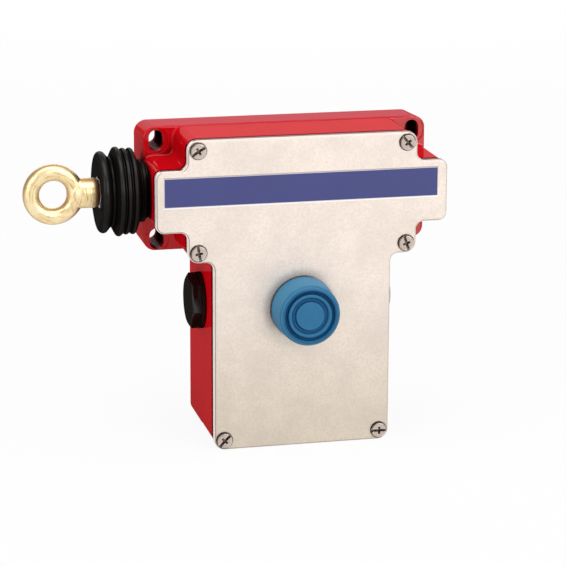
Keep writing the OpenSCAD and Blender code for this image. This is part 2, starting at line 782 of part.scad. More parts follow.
// Two-armed lever: the button pushes its lower arm, its nose drops into the carriage's groove
module latch_lever() color("darkkhaki") {
    arm = [latch_d - 1.5, latch_d + 1.5];
    nose_h = [yoke_h[0] + 0.9, yoke_h[0] + 3.3];
    difference() {
        union() {
            along_x(-7, latch_d, latch_h) cylinder(r = 4, h = 14);
            span_box([-7, 7], arm, [button_h, latch_h]);
            along_x(-7, arm[0], button_h) cylinder(r = latch_nose_r, h = 14);
            span_box([-3.5, 3.5], arm, [latch_h, nose_h[1]]);
            span_box([-3.5, 3.5], [arm[0], rod_d - yoke_half[1] - gap], nose_h);
        }
        along_x(-20, latch_d, latch_h) cylinder(r = latch_pin_r + fit, h = 40);
    }
}

module latch_pin() color("silver") {
    along_x(-12, latch_d, latch_h) cylinder(r = latch_pin_r, h = 24);
}

/* ---- contacts ---- */

module contact_plate() color("lightsteelblue") {
    difference() {
        union() {
            span_box([-28, 28], [plate_d, plate_d + 1.5], [contact_top_h - 32, contact_top_h]);
            span_box([-4, 4], [rod_d - 4, plate_d + eps], [contact_top_h - 11.5, contact_top_h - 10]);
        }
        for (side = [-1, 1], place = contact_screw_places)
            to_front(side * (contact_x + place[0]), casing_d, contact_top_h + place[1])
                cylinder(r = 1.7, h = 30);
    }
}

module contact_screws() color("silver") {
    for (side = [-1, 1], place = contact_screw_places)
        to_front(side * (contact_x + place[0]), plate_d - block_size[1] + 6, contact_top_h + place[1])
            combined_screw(2.6, 1.8, 1.5, 22, 40 * side);
}

terminal_places = [[-5, -12], [5, -12], [-5, -20], [2, -20]];

// A snap action contact block with a plunger bore on top and four terminal recesses in front
module contact_block() {
    w = block_size[0];
    front_d = plate_d - block_size[1];
    difference() {
        span_box([-w / 2, w / 2], [front_d, plate_d], [contact_top_h - block_size[2], contact_top_h]);
        upright(0, rod_d + 1, contact_top_h - 14) cylinder(r = plunger_r + fit, h = 20);
        for (place = terminal_places) to_front(place[0], front_d + 4, contact_top_h + place[1])
            cylinder(r = 2.6, h = 6);
        for (place = contact_screw_places) to_front(place[0], plate_d + 1, contact_top_h + place[1]) {
            cylinder(r = 1.7, h = 40);
            translate([0, 0, block_size[1] - 5]) cylinder(r = 3, h = 20);
        }
    }
}

// Everything that belongs to one contact, mirrored to the side asked for
module contact_side(side) {
    mirror([side < 0 ? 1 : 0, 0, 0]) translate([contact_x, 0, 0]) children();
}

module contact_plunger() {
    upright(0, rod_d + 1, contact_top_h - 10) rotate_extrude() edge_section(plunger_r, 14.2, 0.8);
}

module contact_block_left() color("#404850") contact_side(-1) contact_block();
module contact_block_right() color("#404850") contact_side(1) contact_block();
module contact_plunger_left() color("red") contact_side(-1) contact_plunger();
module contact_plunger_right() color("red") contact_side(1) contact_plunger();

module terminal_screws() color("gold") {
    for (side = [-1, 1]) contact_side(side) for (place = terminal_places)
        to_front(place[0], plate_d - block_size[1] + 2.5, contact_top_h + place[1])
            combined_screw(2.3, 1.5, 1.2, 1.5, 20);
}

module earth_screw() color("gold") {
    to_front(0, plate_d + 2.5, 11) combined_screw(3.8, 2.4, thread_r, 9, 10);
}

module earth_clamp() color("gold") {
    to_front(0, plate_d + 4, 11) difference() {
        translate([-5, -5, 0]) cube([10, 10, 1.5]);
        translate([0, 0, -1]) cylinder(r = thread_r + 0.2, h = 4);
    }
}

housing();
front_cover();
cover_gasket();
cover_screws();
label_strip();
button_boot();
button_head();
button_bushing();
button_nut();
button_spring();
button_circlip();
blanking_plug_left();
blanking_plug_right();
plug_seal_left();
plug_seal_right();
bellows();
guide_bush_left();
guide_bush_right();
eye_bolt();
lock_nut();
pull_rod();
spring_collar();
collar_pin();
rod_spring();
trip_cam();
cam_pin();
guide_bracket();
bracket_screws();
trip_carriage();
follower_roller();
roller_pin();
carriage_spring();
latch_lever();
latch_pin();
contact_plate();
contact_screws();
contact_block_left();
contact_block_right();
contact_plunger_left();
contact_plunger_right();
terminal_screws();
earth_screw();
earth_clamp();
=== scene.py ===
"""Finishes, soft parts and studio for a rope pull switch, laid out as an add-on and run as a script."""

import json
import math
from functools import reduce

import bmesh
import bpy
import numpy as np
from mathutils import Matrix, Vector


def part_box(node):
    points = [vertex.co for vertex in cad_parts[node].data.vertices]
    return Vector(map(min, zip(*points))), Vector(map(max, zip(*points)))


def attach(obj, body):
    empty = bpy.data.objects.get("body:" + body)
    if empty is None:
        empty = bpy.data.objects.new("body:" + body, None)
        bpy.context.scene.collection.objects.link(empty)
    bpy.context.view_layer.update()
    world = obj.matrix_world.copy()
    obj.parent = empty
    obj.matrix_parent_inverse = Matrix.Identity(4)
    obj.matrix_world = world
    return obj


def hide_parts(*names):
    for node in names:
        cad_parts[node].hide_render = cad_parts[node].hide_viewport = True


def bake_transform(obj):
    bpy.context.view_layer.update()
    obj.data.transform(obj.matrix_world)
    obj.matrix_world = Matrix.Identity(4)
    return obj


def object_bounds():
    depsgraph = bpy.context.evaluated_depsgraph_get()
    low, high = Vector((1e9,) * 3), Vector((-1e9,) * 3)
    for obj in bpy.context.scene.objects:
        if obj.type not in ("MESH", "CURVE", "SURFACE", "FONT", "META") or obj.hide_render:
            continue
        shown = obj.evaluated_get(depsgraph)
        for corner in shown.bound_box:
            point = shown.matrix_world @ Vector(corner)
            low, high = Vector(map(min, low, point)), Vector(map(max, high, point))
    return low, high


bl_info = {
    "name": "Rope Pull Switch",
    "version": (1, 0, 0),
    "blender": (4, 5, 0),
    "location": "View3D > Sidebar > Pull Switch",
    "description": "Dresses the rope pull switch: paint, metal, rubber, springs and studio",
    "category": "Object",
}

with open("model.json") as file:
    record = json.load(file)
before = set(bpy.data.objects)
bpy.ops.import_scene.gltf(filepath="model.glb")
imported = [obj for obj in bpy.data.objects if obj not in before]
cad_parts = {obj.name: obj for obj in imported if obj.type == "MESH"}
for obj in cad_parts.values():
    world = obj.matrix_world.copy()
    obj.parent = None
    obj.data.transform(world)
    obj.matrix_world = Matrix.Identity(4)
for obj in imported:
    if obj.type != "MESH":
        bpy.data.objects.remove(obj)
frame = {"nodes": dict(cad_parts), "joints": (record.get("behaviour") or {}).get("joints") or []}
CAD_BOX = [list(corner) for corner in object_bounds()]
MM = 0.001
# Faces of a copied CAD node join where they turn less than the first, and an edge is sharp above the second
FLAT_DEGREES, SHARP_DEGREES = 0.3, 32
# Each lamp's name, the setting of its power, its width and height, and its place, in metres
LAMPS = (
    ("TopSoftbox", "top_power", (1.3, 1.0), (-0.10, -0.25, 1.15)),
    ("SideSoftbox", "side_power", (0.9, 0.9), (-1.10, -0.75, 0.45)),
    ("FrontSoftbox", "front_power", (1.2, 0.9), (0.55, -1.25, 0.55)),
    ("BackSoftbox", "back_power", (1.5, 0.8), (0.33, 1.4, 0.45)))


# ---------------------------------------------------------------- shader maths


class Signal:
    """A socket in an expression: each operation on it adds one Math node."""

    def __init__(self, nodes, socket):
        self.nodes = nodes
        self.socket = socket

    def math(self, operation, *values):
        return self.nodes.node("ShaderNodeMath", {"operation": operation}, dict(enumerate(values)))

    def __add__(self, other):
        return self.math("ADD", self, other)

    def __sub__(self, other):
        return self.math("SUBTRACT", self, other)

    def __rsub__(self, other):
        return self.math("SUBTRACT", other, self)

    def __mul__(self, other):
        return self.math("MULTIPLY", self, other)

    def __truediv__(self, other):
        return self.math("DIVIDE", self, other)

    def __pow__(self, other):
        return self.math("POWER", self, other)

    def __gt__(self, other):
        return self.math("GREATER_THAN", self, other)

    def __lt__(self, other):
        return self.math("LESS_THAN", self, other)

    def __abs__(self):
        return self.math("ABSOLUTE", self)

    __radd__ = __add__
    __rmul__ = __mul__

    def low(self, other):
        return self.math("MINIMUM", self, other)

    def high(self, other):
        return self.math("MAXIMUM", self, other)

    def step(self, start, end):
        """Smoothly from 0 at start to 1 at end."""
        return self.nodes.node(
            "ShaderNodeMapRange", {"interpolation_type": "SMOOTHSTEP"},
            {"Value": self, "From Min": start, "From Max": end})


class Nodes:
    """A node tree to which one method adds every node."""

    def __init__(self, tree):
        self.tree = tree

    def node(self, kind, settings=None, sockets=None, output=0):
        """Adds a node, sets its settings and then its sockets' values or links, and returns one output."""
        made = self.tree.nodes.new(kind)
        for name, value in (settings or {}).items():
            setattr(made, name, value)
        for key, value in (sockets or {}).items():
            if isinstance(value, Signal):
                self.tree.links.new(value.socket, made.inputs[key])
            else:
                made.inputs[key].default_value = value
        return Signal(self, made.outputs[output])

    def whitened(self, lit, white, mirrored):
        """A Mix Shader that shows white to the camera, and the share mirrored of it to shiny pieces."""
        shiny = self.node("ShaderNodeLightPath", output="Is Glossy Ray").high(
            self.node("ShaderNodeLightPath", output="Is Transmission Ray"))
        seen = self.node("ShaderNodeLightPath", output="Is Camera Ray").high(shiny * mirrored)
        return self.node("ShaderNodeMixShader", None, {0: seen, 1: lit, 2: white})


class Finish(Nodes):
    """One material: its Principled shader and the nodes that feed it."""

    def __init__(self, name, colour, **constants):
        self.material = bpy.data.materials.new(name)
        self.material.use_nodes = True
        super().__init__(self.material.node_tree)
        self.shader = self.tree.nodes["Principled BSDF"]
        self.shader.inputs["Base Color"].default_value = tuple(colour)[:3] + (1.0,)
        for socket, value in constants.items():
            self.shader.inputs[socket.replace("_", " ")].default_value = value
        self._place = None

    def place(self):
        """The point on the object, in metres."""
        if self._place is None:
            self._place = self.node("ShaderNodeTexCoord", output="Object")
        return self._place

    def part(self, vector, letter):
        """One coordinate of a vector."""
        return self.node("ShaderNodeSeparateXYZ", None, {0: vector}, letter)

    def axis(self, letter):
        """One coordinate of the point, in metres."""
        return self.part(self.place(), letter)

    def polar(self, centre):
        """How far the point lies right of centre, above it, and away from it across the object's front."""
        across, up = [self.axis(letter) - float(centre[k]) for letter, k in (("X", 0), ("Z", 2))]
        return across, up, (across ** 2 + up ** 2) ** 0.5

    def normal(self, kind="Normal"):
        """The way the surface faces."""
        return self.node("ShaderNodeNewGeometry", output=kind)

    def grazing(self):
        """From 0 on a surface that is seen square on to 1 on its outline. It is for gloss only."""
        return self.node("ShaderNodeLayerWeight", None, {"Blend": 0.5}, output="Facing")

    def stretched(self, scale):
        """The point with each coordinate multiplied, for grain that runs one way."""
        return self.node("ShaderNodeMapping", None, {"Vector": self.place(), "Scale": scale})

    def noise(self, size_mm, detail, roughness=0.5, where=None, distortion=0.0):
        """Even noise whose blotches are about size_mm across, from 0 to 1."""
        return self.node(
            "ShaderNodeTexNoise", None,
            {"Vector": where or self.place(), "Scale": 1 / (size_mm * MM), "Detail": detail,
             "Roughness": roughness, "Distortion": distortion})

    def mix(self, factor, a, b, blend="MIX"):
        """Colour a where factor is 0 and b where it is 1."""
        a, b = [v if isinstance(v, Signal) else tuple(v)[:3] + (1.0,) for v in (a, b)]
        return self.node(
            "ShaderNodeMix", {"data_type": "RGBA", "blend_type": blend}, {0: factor, 6: a, 7: b}, output=2)

    def crevice(self, distance_mm):
        """1 in open air, falling to 0 in corners, slots and gaps."""
        return self.node(
            "ShaderNodeAmbientOcclusion", {"samples": 8}, {"Distance": distance_mm * MM}, output="AO")

    def ring(self, away, radius_mm, half_mm):
        """1 where away, a distance in metres, is within half_mm of a radius, with soft edges."""
        return abs(away - radius_mm * MM).step(half_mm * 1.4 * MM, half_mm * 0.6 * MM)

    def rounded(self, radius_mm):
        """A normal that looks as if each edge were rounded to that radius."""
        return self.node("ShaderNodeBevel", {"samples": 4}, {"Radius": radius_mm * MM})

    def edges(self, radius_mm):
        """1 along outer and inner edges, 0 on flat faces."""
        facing = self.node(
            "ShaderNodeVectorMath", {"operation": "DOT_PRODUCT"},
            {0: self.rounded(radius_mm), 1: self.normal()}, output="Value")
        return (1 - facing).step(0.01, 0.14)

    def bump(self, height, depth_mm, under=None):
        """Bends the normal as height, from 0 to 1, raises the surface by depth_mm."""
        sockets = {"Height": height, "Distance": depth_mm * MM}
        if under is not None:
            sockets["Normal"] = under
        return self.node("ShaderNodeBump", None, sockets)

    def feed(self, **sockets):
        """Links values to the shader's sockets."""
        for name, value in sockets.items():
            self.tree.links.new(value.socket, self.shader.inputs[name.replace("_", " ")])
        return self.material


# ---------------------------------------------------------------- surfaces


def grid_piece(name, sheets, finish, body, replaced=(), smooth=True):
    """One object from several grids of points.

    Each sheet is (points, wrap_u, wrap_v): points has shape (m, n, 3), and neighbours on the grid join
    as four-sided faces, also from the last row to the first where wrap_u or wrap_v is true.
    """
    corners, faces, start = [], [], 0
    for points, wrap_u, wrap_v in sheets:
        m, n = points.shape[:2]
        rows, columns = np.arange(m if wrap_u else m - 1), np.arange(n if wrap_v else n - 1)
        u, v = np.meshgrid(rows, columns, indexing="ij")
        u1, v1 = (u + 1) % m, (v + 1) % n
        quads = np.stack([u * n + v, u1 * n + v, u1 * n + v1, u * n + v1], axis=-1).reshape(-1, 4)
        corners.append(points.reshape(-1, 3))
        faces.append(quads + start)
        start += m * n
    mesh = bpy.data.meshes.new(name)
    mesh.from_pydata(np.concatenate(corners).tolist(), [], np.concatenate(faces).tolist())
    shape = bmesh.new()
    shape.from_mesh(mesh)
    bmesh.ops.remove_doubles(shape, verts=shape.verts, dist=1e-6)
    bmesh.ops.recalc_face_normals(shape, faces=shape.faces)
    shape.to_mesh(mesh)
    shape.free()
    mesh.polygons.foreach_set("use_smooth", np.full(len(mesh.polygons), smooth))
    mesh.materials.append(finish)
    piece = bpy.data.objects.new(name, mesh)
    bpy.context.scene.collection.objects.link(piece)
    if body:
        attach(piece, body)
    if replaced:
        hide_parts(*replaced)
    return piece


def unit(rows):
    """Each row scaled to the length 1."""
    return rows / np.linalg.norm(rows, axis=1, keepdims=True)


def rounded_line(points, radii, steps, closed=True):
    """A polyline whose corners are arcs of that many steps: each arc's ends lie radius / tan(half the
    corner's angle) from the corner, and its points turn evenly about a centre radius / sin(half the angle)
    away. The radius 0 leaves a corner sharp."""
    p = np.asarray(points, float)
    r = np.maximum(np.asarray(radii, float), 1e-5)[:, None]
    back, ahead = unit(np.roll(p, 1, 0) - p), unit(np.roll(p, -1, 0) - p)
    half = np.arccos(np.clip(np.sum(back * ahead, 1, keepdims=True), -1, 1)) / 2
    centre = p + unit(back + ahead) * r / np.sin(half)
    first, last = p + back * r / np.tan(half) - centre, p + ahead * r / np.tan(half) - centre
    turn = math.pi - 2 * half
    t = np.linspace(0, 1, steps)[None, :, None]
    arcs = centre[:, None] + (
        np.sin((1 - t) * turn[:, None]) * first[:, None] + np.sin(t * turn[:, None]) * last[:, None]
    ) / np.sin(turn)[:, None]
    if not closed:
        arcs[0], arcs[-1] = p[0], p[-1]
    return arcs.reshape(-1, 2)


def dense_line(points, gap):
    """The same closed line with straight stretches cut into pieces no longer than gap."""
    p = np.asarray(points, float)
    ends = np.vstack([p, p[:1]])
    length = np.concatenate([[0], np.cumsum(np.linalg.norm(np.diff(ends, axis=0), axis=1))])
    extra = np.arange(0, length[-1], gap)
    at = np.unique(np.round(np.concatenate([length[:-1], extra]), 7))
    return np.stack([np.interp(at, length, ends[:, k]) for k in (0, 1)], axis=1)


def turned(profile, centre, axis, count):
    """A surface of revolution: profile's (radius, distance) points, with distance along axis from centre, go
    round in count even steps. Axis is one of X, Y and Z with a sign."""
    angle = np.linspace(0, 2 * math.pi, count, endpoint=False)
    radius, along = profile[:, :1], profile[:, 1:2] * (1 if axis[0] == "+" else -1)
    flat = [radius * np.cos(angle), radius * np.sin(angle)]
    k = "XYZ".index(axis[1])
    parts = [None, None, None]
    parts[k] = along + 0 * flat[0]
    parts[(k + 1) % 3], parts[(k + 2) % 3] = flat
    return np.stack(parts, axis=-1) + np.asarray(centre, float)


def helix(centre, axis, radius, wire, length, turns):
    """A coil spring: a tube of radius wire whose centreline winds round axis. The first and the last 0.9 of a
    turn climb one wire's width a turn, and the line climbs evenly between them."""
    dead, per_turn, round_wire = 0.9, 48, 10
    t = np.linspace(0, turns, int(turns * per_turn))
    climb = np.clip((t - dead) / (turns - 2 * dead), 0, 1)
    flat = 2 * wire * (np.minimum(t, dead) + np.maximum(t - turns + dead, 0))
    free = length - 2 * wire - 4 * wire * dead
    along = wire + flat + free * climb
    angle = 2 * math.pi * t
    out = np.stack([np.cos(angle), np.sin(angle), 0 * angle], 1)
    up = np.stack([0 * t, 0 * t, 1 + 0 * t], 1)
    ring = np.linspace(0, 2 * math.pi, round_wire, endpoint=False)[None, :, None]
    size = np.full_like(t, wire)
    size[0] = size[-1] = 0
    points = (radius * out + along[:, None] * up)[:, None] + size[:, None, None] * (
        np.cos(ring) * out[:, None] + np.sin(ring) * up[:, None])
    k = "XYZ".index(axis[1])
    points[..., 2] *= 1 if axis[0] == "+" else -1
    return points[..., [(i - k - 1) % 3 for i in range(3)]] + np.asarray(centre, float)


def middle(node):
    """The middle of a CAD node's box, and its size."""
    low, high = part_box(node)
    return np.array((low + high) / 2), np.array(high - low)


def polished_copy(node, name, finish, body):
    """A copy of a CAD node with its loose triangles merged, flat areas joined into single faces, and shaded
    smooth except along its sharp edges."""
    mesh = frame["nodes"][node].data.copy()
    mesh.name = name
    shape = bmesh.new()
    shape.from_mesh(mesh)
    bmesh.ops.remove_doubles(shape, verts=shape.verts, dist=2e-6)
    bmesh.ops.dissolve_limit(
        shape, angle_limit=math.radians(FLAT_DEGREES), verts=shape.verts, edges=shape.edges,
        delimit={"NORMAL"})
    shape.to_mesh(mesh)
    shape.free()
    mesh.materials.clear()
    mesh.materials.append(finish)
    mesh.shade_smooth()
    mesh.set_sharp_from_angle(angle=math.radians(SHARP_DEGREES))
    piece = bpy.data.objects.new(name, mesh)
    bpy.context.scene.collection.objects.link(piece)
    weigh = piece.modifiers.new("FlatFaces", "WEIGHTED_NORMAL")
    weigh.weight = 100
    weigh.keep_sharp = True
    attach(piece, body)
    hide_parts(node)
    return piece


def paint_nodes(finish, *nodes):
    """Gives CAD nodes one finish."""
    for node in nodes:
        mesh = frame["nodes"][node].data
        mesh.materials.clear()
        mesh.materials.append(finish)


# ---------------------------------------------------------------- settings


def colour_property(name, description, value):
    return bpy.props.FloatVectorProperty(
        name=name, description=description, default=value, size=3, min=0, max=1, subtype="COLOR")


def length_property(name, description, value):
    return bpy.props.FloatProperty(
        name=name, description=description, default=value * MM, min=0, unit="LENGTH", precision=5)


class SwitchColours(bpy.types.PropertyGroup):
    """Base colours of the finishes."""

    paint: colour_property("Paint", "Glossy paint on the casting", (0.60, 0.003, 0.008))
    cover: colour_property("Cover", "Blasted sheet of the cover", (0.884, 0.782, 0.706))
    nickel: colour_property("Nickel", "Plating of the cover screws", (0.62, 0.52, 0.46))
    zinc: colour_property("Zinc", "Bright zinc on steel pieces", (0.60, 0.61, 0.63))
    chromate: colour_property("Chromate", "Yellow passivation on the eye", (1.0, 0.80, 0.40))
    bronze: colour_property("Bronze", "Bushes and terminal screws", (0.62, 0.38, 0.17))
    boot: colour_property("Boot", "Silicone of the reset button's boot", (0.0145, 0.138, 0.285))
    stripe: colour_property("Stripe", "Printed stripe on the cover", (0.050, 0.056, 0.195))
    rubber: colour_property("Rubber", "Bellows and seals", (0.0050, 0.0038, 0.003))
    plug: colour_property("Plug", "Moulded blanking plugs", (0.0085, 0.0045, 0.0032))


class SwitchShapes(bpy.types.PropertyGroup):
    """Sizes of the lugs, the soft parts, the eye, its nut and the springs."""

    lug_front: length_property("Lug front", "How far the part with the lugs stands from the wall", 22.5)
    bellows_grip: length_property("Bellows hole", "Radius of the hole that the shank goes through", 8.0)
    boot_rim: length_property("Boot rim", "Rounding of the boot's rim", 2.2)
    boot_inset: length_property("Boot inset", "How far the boot's foot stands inside its seat", 0.7)
    eye_bar: length_property("Eye bar", "Radius of the eye's bar", 3.75)
    eye_shank: length_property("Eye shank", "Radius of the eye's shank", 6.7)
    nut_lip: length_property("Nut lip", "How far the lock nut laps over the shank's end", 1.1)
    rod_spring_turns: bpy.props.IntProperty(
        name="Rod spring turns", description="Turns of the rod's spring", default=9, min=3)
    small_spring_turns: bpy.props.IntProperty(
        name="Small spring turns", description="Turns of the button's and carriage's springs", default=6,
        min=3)


class SwitchStudio(bpy.types.PropertyGroup):
    """Camera, lamps and floor."""

    camera_place: bpy.props.FloatVectorProperty(
        name="Camera", description="Where the camera stands", default=(-0.2506, -1.0704, 0.2408), size=3,
        subtype="TRANSLATION")
    camera_turn: bpy.props.FloatVectorProperty(
        name="Camera turn", description="Turn left, tilt down and roll, in degrees",
        default=(-13.407, 14.926, 0.284), size=3)
    lens: bpy.props.FloatProperty(name="Lens", description="Focal length in mm", default=154.61)
    top_power: bpy.props.FloatProperty(
        name="Top softbox", description="Power of the lamp overhead", default=9.0, unit="POWER")
    side_power: bpy.props.FloatProperty(
        name="Side softbox", description="Power of the lamp on the left", default=5.0, unit="POWER")
    front_power: bpy.props.FloatProperty(
        name="Front softbox", description="Power of the lamp by the camera", default=9.0, unit="POWER")
    back_power: bpy.props.FloatProperty(
        name="Back softbox", description="Power of the lamp behind", default=8.0, unit="POWER")
    room: bpy.props.FloatProperty(name="Room", description="Brightness of the room", default=0.32)
    room_mirrored: bpy.props.FloatProperty(
        name="Mirrored room", description="Share of the white background in what metal mirrors", default=0.25)
    floor_shade: bpy.props.FloatProperty(
        name="Floor", description="Paleness of the floor", default=0.82, min=0, max=1)


# ---------------------------------------------------------------- finishes


def shade(colour, factor, lift=0.0):
    """A colour times one number or three, raised by lift."""
    return np.minimum(1, np.array(colour) * factor + lift)


def paint_finish(colour, lug_front):
    """Glossy wet paint: faint orange peel, slightly uneven tone and a thin clear skin. A pinkish painted
    sheen lies on top of the part that carries the lugs, which reaches lug_front from the wall."""
    f = Finish("red_paint", colour, Coat_Roughness=0.06, Coat_IOR=1.8, Specular_IOR_Level=0.0)
    normal = f.normal()
    upward = f.part(normal, "Z")
    on_top = upward.step(0.6, 0.95)
    # The skin is strongest on the front of the right-hand lugs
    frontal = f.part(normal, "Y").step(-0.5, -0.95)
    skin = 0.24 - f.grazing().step(0.25, 0.8) * 0.17 + frontal * f.axis("X").step(0.030, 0.055) * 0.72
    specks = f.noise(0.7, 2, 0.7).step(0.70, 0.80)
    edge = f.edges(0.5)
    deep = f.mix(f.noise(22, 3), shade(colour, 0.86), shade(colour, 1.10))
    # Lighter red along outer and inner edges: a painted highlight, with some wear on the outer ones
    wear_and_edge_highlight = f.mix(edge * 0.45, deep, shade(colour, 1.30, 0.03))
    # Painted highlight: edges that face up are mixed towards bright pink
    top_edge_highlight = f.mix(edge * on_top * 0.6, wear_and_edge_highlight, (0.95, 0.17, 0.21))
    # Painted sheen: the top of the rear part, behind lug_front, is mixed towards a pale pink
    rear = on_top * f.axis("Y").step(-(lug_front + 0.5 * MM), -(lug_front - 0.5 * MM))
    rear_top_sheen = f.mix(rear * 0.5, top_edge_highlight, (0.44, 0.032, 0.064))
    speckled = f.mix(specks * 0.25, rear_top_sheen, shade(colour, 0.6))
    # Painted shade darkens the paint in slots, and a painted shadow line lies behind the seal, narrower on
    # top
    inside = f.crevice(9).step(0.53, 0.30)
    behind = f.axis("Y") - float(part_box("cover_gasket")[1][1]) + upward * 1.4 * MM
    cover_shadow = behind.step(4.2 * MM, 3.0 * MM)
    shadowed = f.mix(cover_shadow * 0.85, speckled, shade(colour, 0.06))
    final = f.mix(inside, shadowed, shade(colour, 0.03))
    peel = f.noise(1.6, 1) * 0.7 + f.noise(4.5, 1) * 0.6
    rough = 0.24 + f.noise(9, 3) * 0.10 + specks * 0.1
    return f.feed(Base_Color=final, Roughness=rough, Coat_Weight=skin * (1 - inside) * (1 - cover_shadow),
                  Normal=f.bump(peel, 0.012, f.rounded(0.5)))


def cover_finish(colour, foot):
    """Blasted and passivated sheet: mottled grain, cloudy tone, a few hair scratches, painted shade, shadow
    and a glint round the boot's foot, whose radius is given, a rolled edge with a painted highlight and a
    painted shade line, a painted shadow on the top edge, painted shade towards the bottom, and a pale border
    under the stripe."""
    f = Finish("cover_metal", colour, Metallic=1.0)
    cloud = f.noise(16, 4, 0.6)
    grain = f.noise(1.1, 4, 0.7)
    fine = f.noise(0.45, 3, 0.7)
    hair = f.noise(2.2, 3, 0.6, f.stretched((0.12, 1, 2.6)), 0.4).step(0.66, 0.74)
    hair = hair * f.noise(30, 2).step(0.48, 0.60)
    tone = f.mix(cloud.step(0.3, 0.7), shade(colour, 0.93), shade(colour, 1.04))
    spotted = f.mix(grain.step(0.40, 0.66) * 0.55, tone, shade(colour, (0.84, 0.83, 0.82)))
    sparkled = f.mix(fine.step(0.56, 0.74) * 0.7, spotted, shade(colour, 1.10))
    scratched = f.mix(hair * 0.30, sparkled, shade(colour, 1.15))
    shaded = f.mix(f.axis("Z").step(-0.025, -0.12), scratched, (0.81, 0.81, 0.755), "MULTIPLY")
    boot_shaded = boot_shade_and_glint(f, shaded, fine, foot)
    # How far the surface has rolled away from the front, from 0 on the flat to 1 at the side
    facing = f.normal("True Normal")
    sideways, forward, rise = [f.part(facing, letter) for letter in "XYZ"]
    roll = forward + 1
    slope = (1.0001 - forward * forward) ** 0.5
    right, upward = (sideways / slope).step(-0.4, 0.5), (rise / slope).step(0.80, 0.96)
    # Painted shade: a grey line where the flat starts to roll, weaker on edges that face right
    line = roll.step(0.004, 0.03) * roll.step(0.34, 0.16)
    roll_start_shade = f.mix(line * (0.78 - right * 0.55), boot_shaded, shade(colour, 0.32))
    # Painted highlight: the rolled sides are mixed towards near white
    rolled = roll.step(0.25, 0.55)
    rim = f.mix(rolled * 0.85, roll_start_shade, (1.0, 0.93, 0.88))
    # Painted shade at the start of the roll on the top edge, and a dark red painted shadow on its rolled side
    dimmed = f.mix(roll.step(0.01, 0.12) * upward * 0.6, rim, shade(colour, 0.66))
    top_edge_shadow = f.mix(roll.step(0.60, 0.90) * upward, dimmed, (0.16, 0.022, 0.02))
    final = stripe_edge_lines(f, top_edge_shadow)
    rough = 0.42 + cloud * 0.10 - hair * 0.12 + grain * 0.06 - line * 0.1
    return f.feed(Base_Color=final, Roughness=rough, Metallic=1 - rolled * (1 - upward) * 0.6,
                  Normal=f.bump(grain * 0.7 + fine * 0.5, 0.016, f.rounded(0.45)))


def boot_shade_and_glint(f, under, fine, foot):
    """Painted shade round the boot's foot, a painted shadow line at its upper left and a painted glint at its
    lower right.
    """
    across, up, away = f.polar(middle("button_boot")[0])
    shady = (up - across) / away
    # Painted shadow: a dark halo to the upper left of the foot, broken up by the grain
    halo = away.step(foot + 5.0 * MM, foot + 0.4 * MM) * shady.step(-0.3, 0.9)
    halo = halo * (fine.step(0.3, 0.7) * 0.5 + 0.5)
    # Painted shade where the boot stands on the cover, from ambient occlusion
    crevice_shade = away.step(foot * 1.3, foot) * (1 - f.crevice(4)).step(0.2, 0.7)
    crevice_shade = (crevice_shade * (fine.step(0.3, 0.7) * 0.6 + 0.4)).high(halo * 0.62)
    # Painted shadow of the boot's undercut: a dark line at its upper left
    undercut_shadow = away.step(foot + 1.3 * MM, foot + 0.2 * MM) * shady.step(-0.2, 1.0)
    undercut_shadow = undercut_shadow * (fine.step(0.2, 0.6) * 0.5 + 0.5)
    with_painted_shade = f.mix((crevice_shade * 0.85).high(undercut_shadow), under, (0.12, 0.07, 0.05))
    # Painted glint: a white line at the lower right of the foot
    glint = away.step(foot + 0.9 * MM, foot + 0.3 * MM) * shady.step(-0.5, -1.2)
    return f.mix(glint * 0.9, with_painted_shade, (1, 1, 1))


def stripe_edge_lines(f, under):
    """A pale line below the stripe and a grey one above it, along the stripe's width."""
    centre, size = middle("label_strip")
    inside = abs(f.axis("X") - float(centre[0])) < float(size[0] / 2 + 0.3 * MM)
    below = f.axis("Z") - float(centre[2] - size[2] / 2)
    above = f.axis("Z") - float(centre[2] + size[2] / 2)
    pale = f.mix(inside * (below > -0.6 * MM) * (below < 0.0) * 0.7, under, (1.0, 0.98, 1.0))
    return f.mix(inside * (above > 0.0) * (above < 0.35 * MM), pale, (0.45, 0.40, 0.42))


def plated_finish(name, colour, rough, crevice_shade=0.9):
    """Plated steel: even shine, faint tool marks, a painted highlight on edges that face the lower right and
    painted shade on those that face the upper left, and painted shade in slots and corners."""
    f = Finish(name, colour, Metallic=1.0)
    shut_in = (1 - f.crevice(2.2)).step(0.12, 0.55)
    cloud = f.noise(2.6, 4, 0.6)
    marks = f.noise(0.5, 2, 0.6)
    rolled = f.rounded(0.55)
    lean = f.part(rolled, "Z") - f.part(rolled, "X")
    tone = f.mix(cloud, shade(colour, 0.86), shade(colour, 1.08))
    # Painted highlight on edges whose rounding faces the lower right, and painted shade on those facing the
    # upper left
    tone = f.mix(lean.step(-0.15, -0.6) * 0.8, tone, (1.0, 0.98, 0.95))
    tone = f.mix(lean.step(0.15, 0.6) * 0.85, tone, shade(colour, (0.15, 0.12, 0.09)))
    # Painted shade in slots and corners, from ambient occlusion
    with_painted_shade = f.mix(shut_in * crevice_shade, tone, shade(colour, (0.07, 0.045, 0.025)))
    shiny = rough + cloud * 0.14 + shut_in * 0.2
    return f.feed(Base_Color=with_painted_shade, Roughness=shiny, Normal=f.bump(marks, 0.010, f.rounded(0.18)))


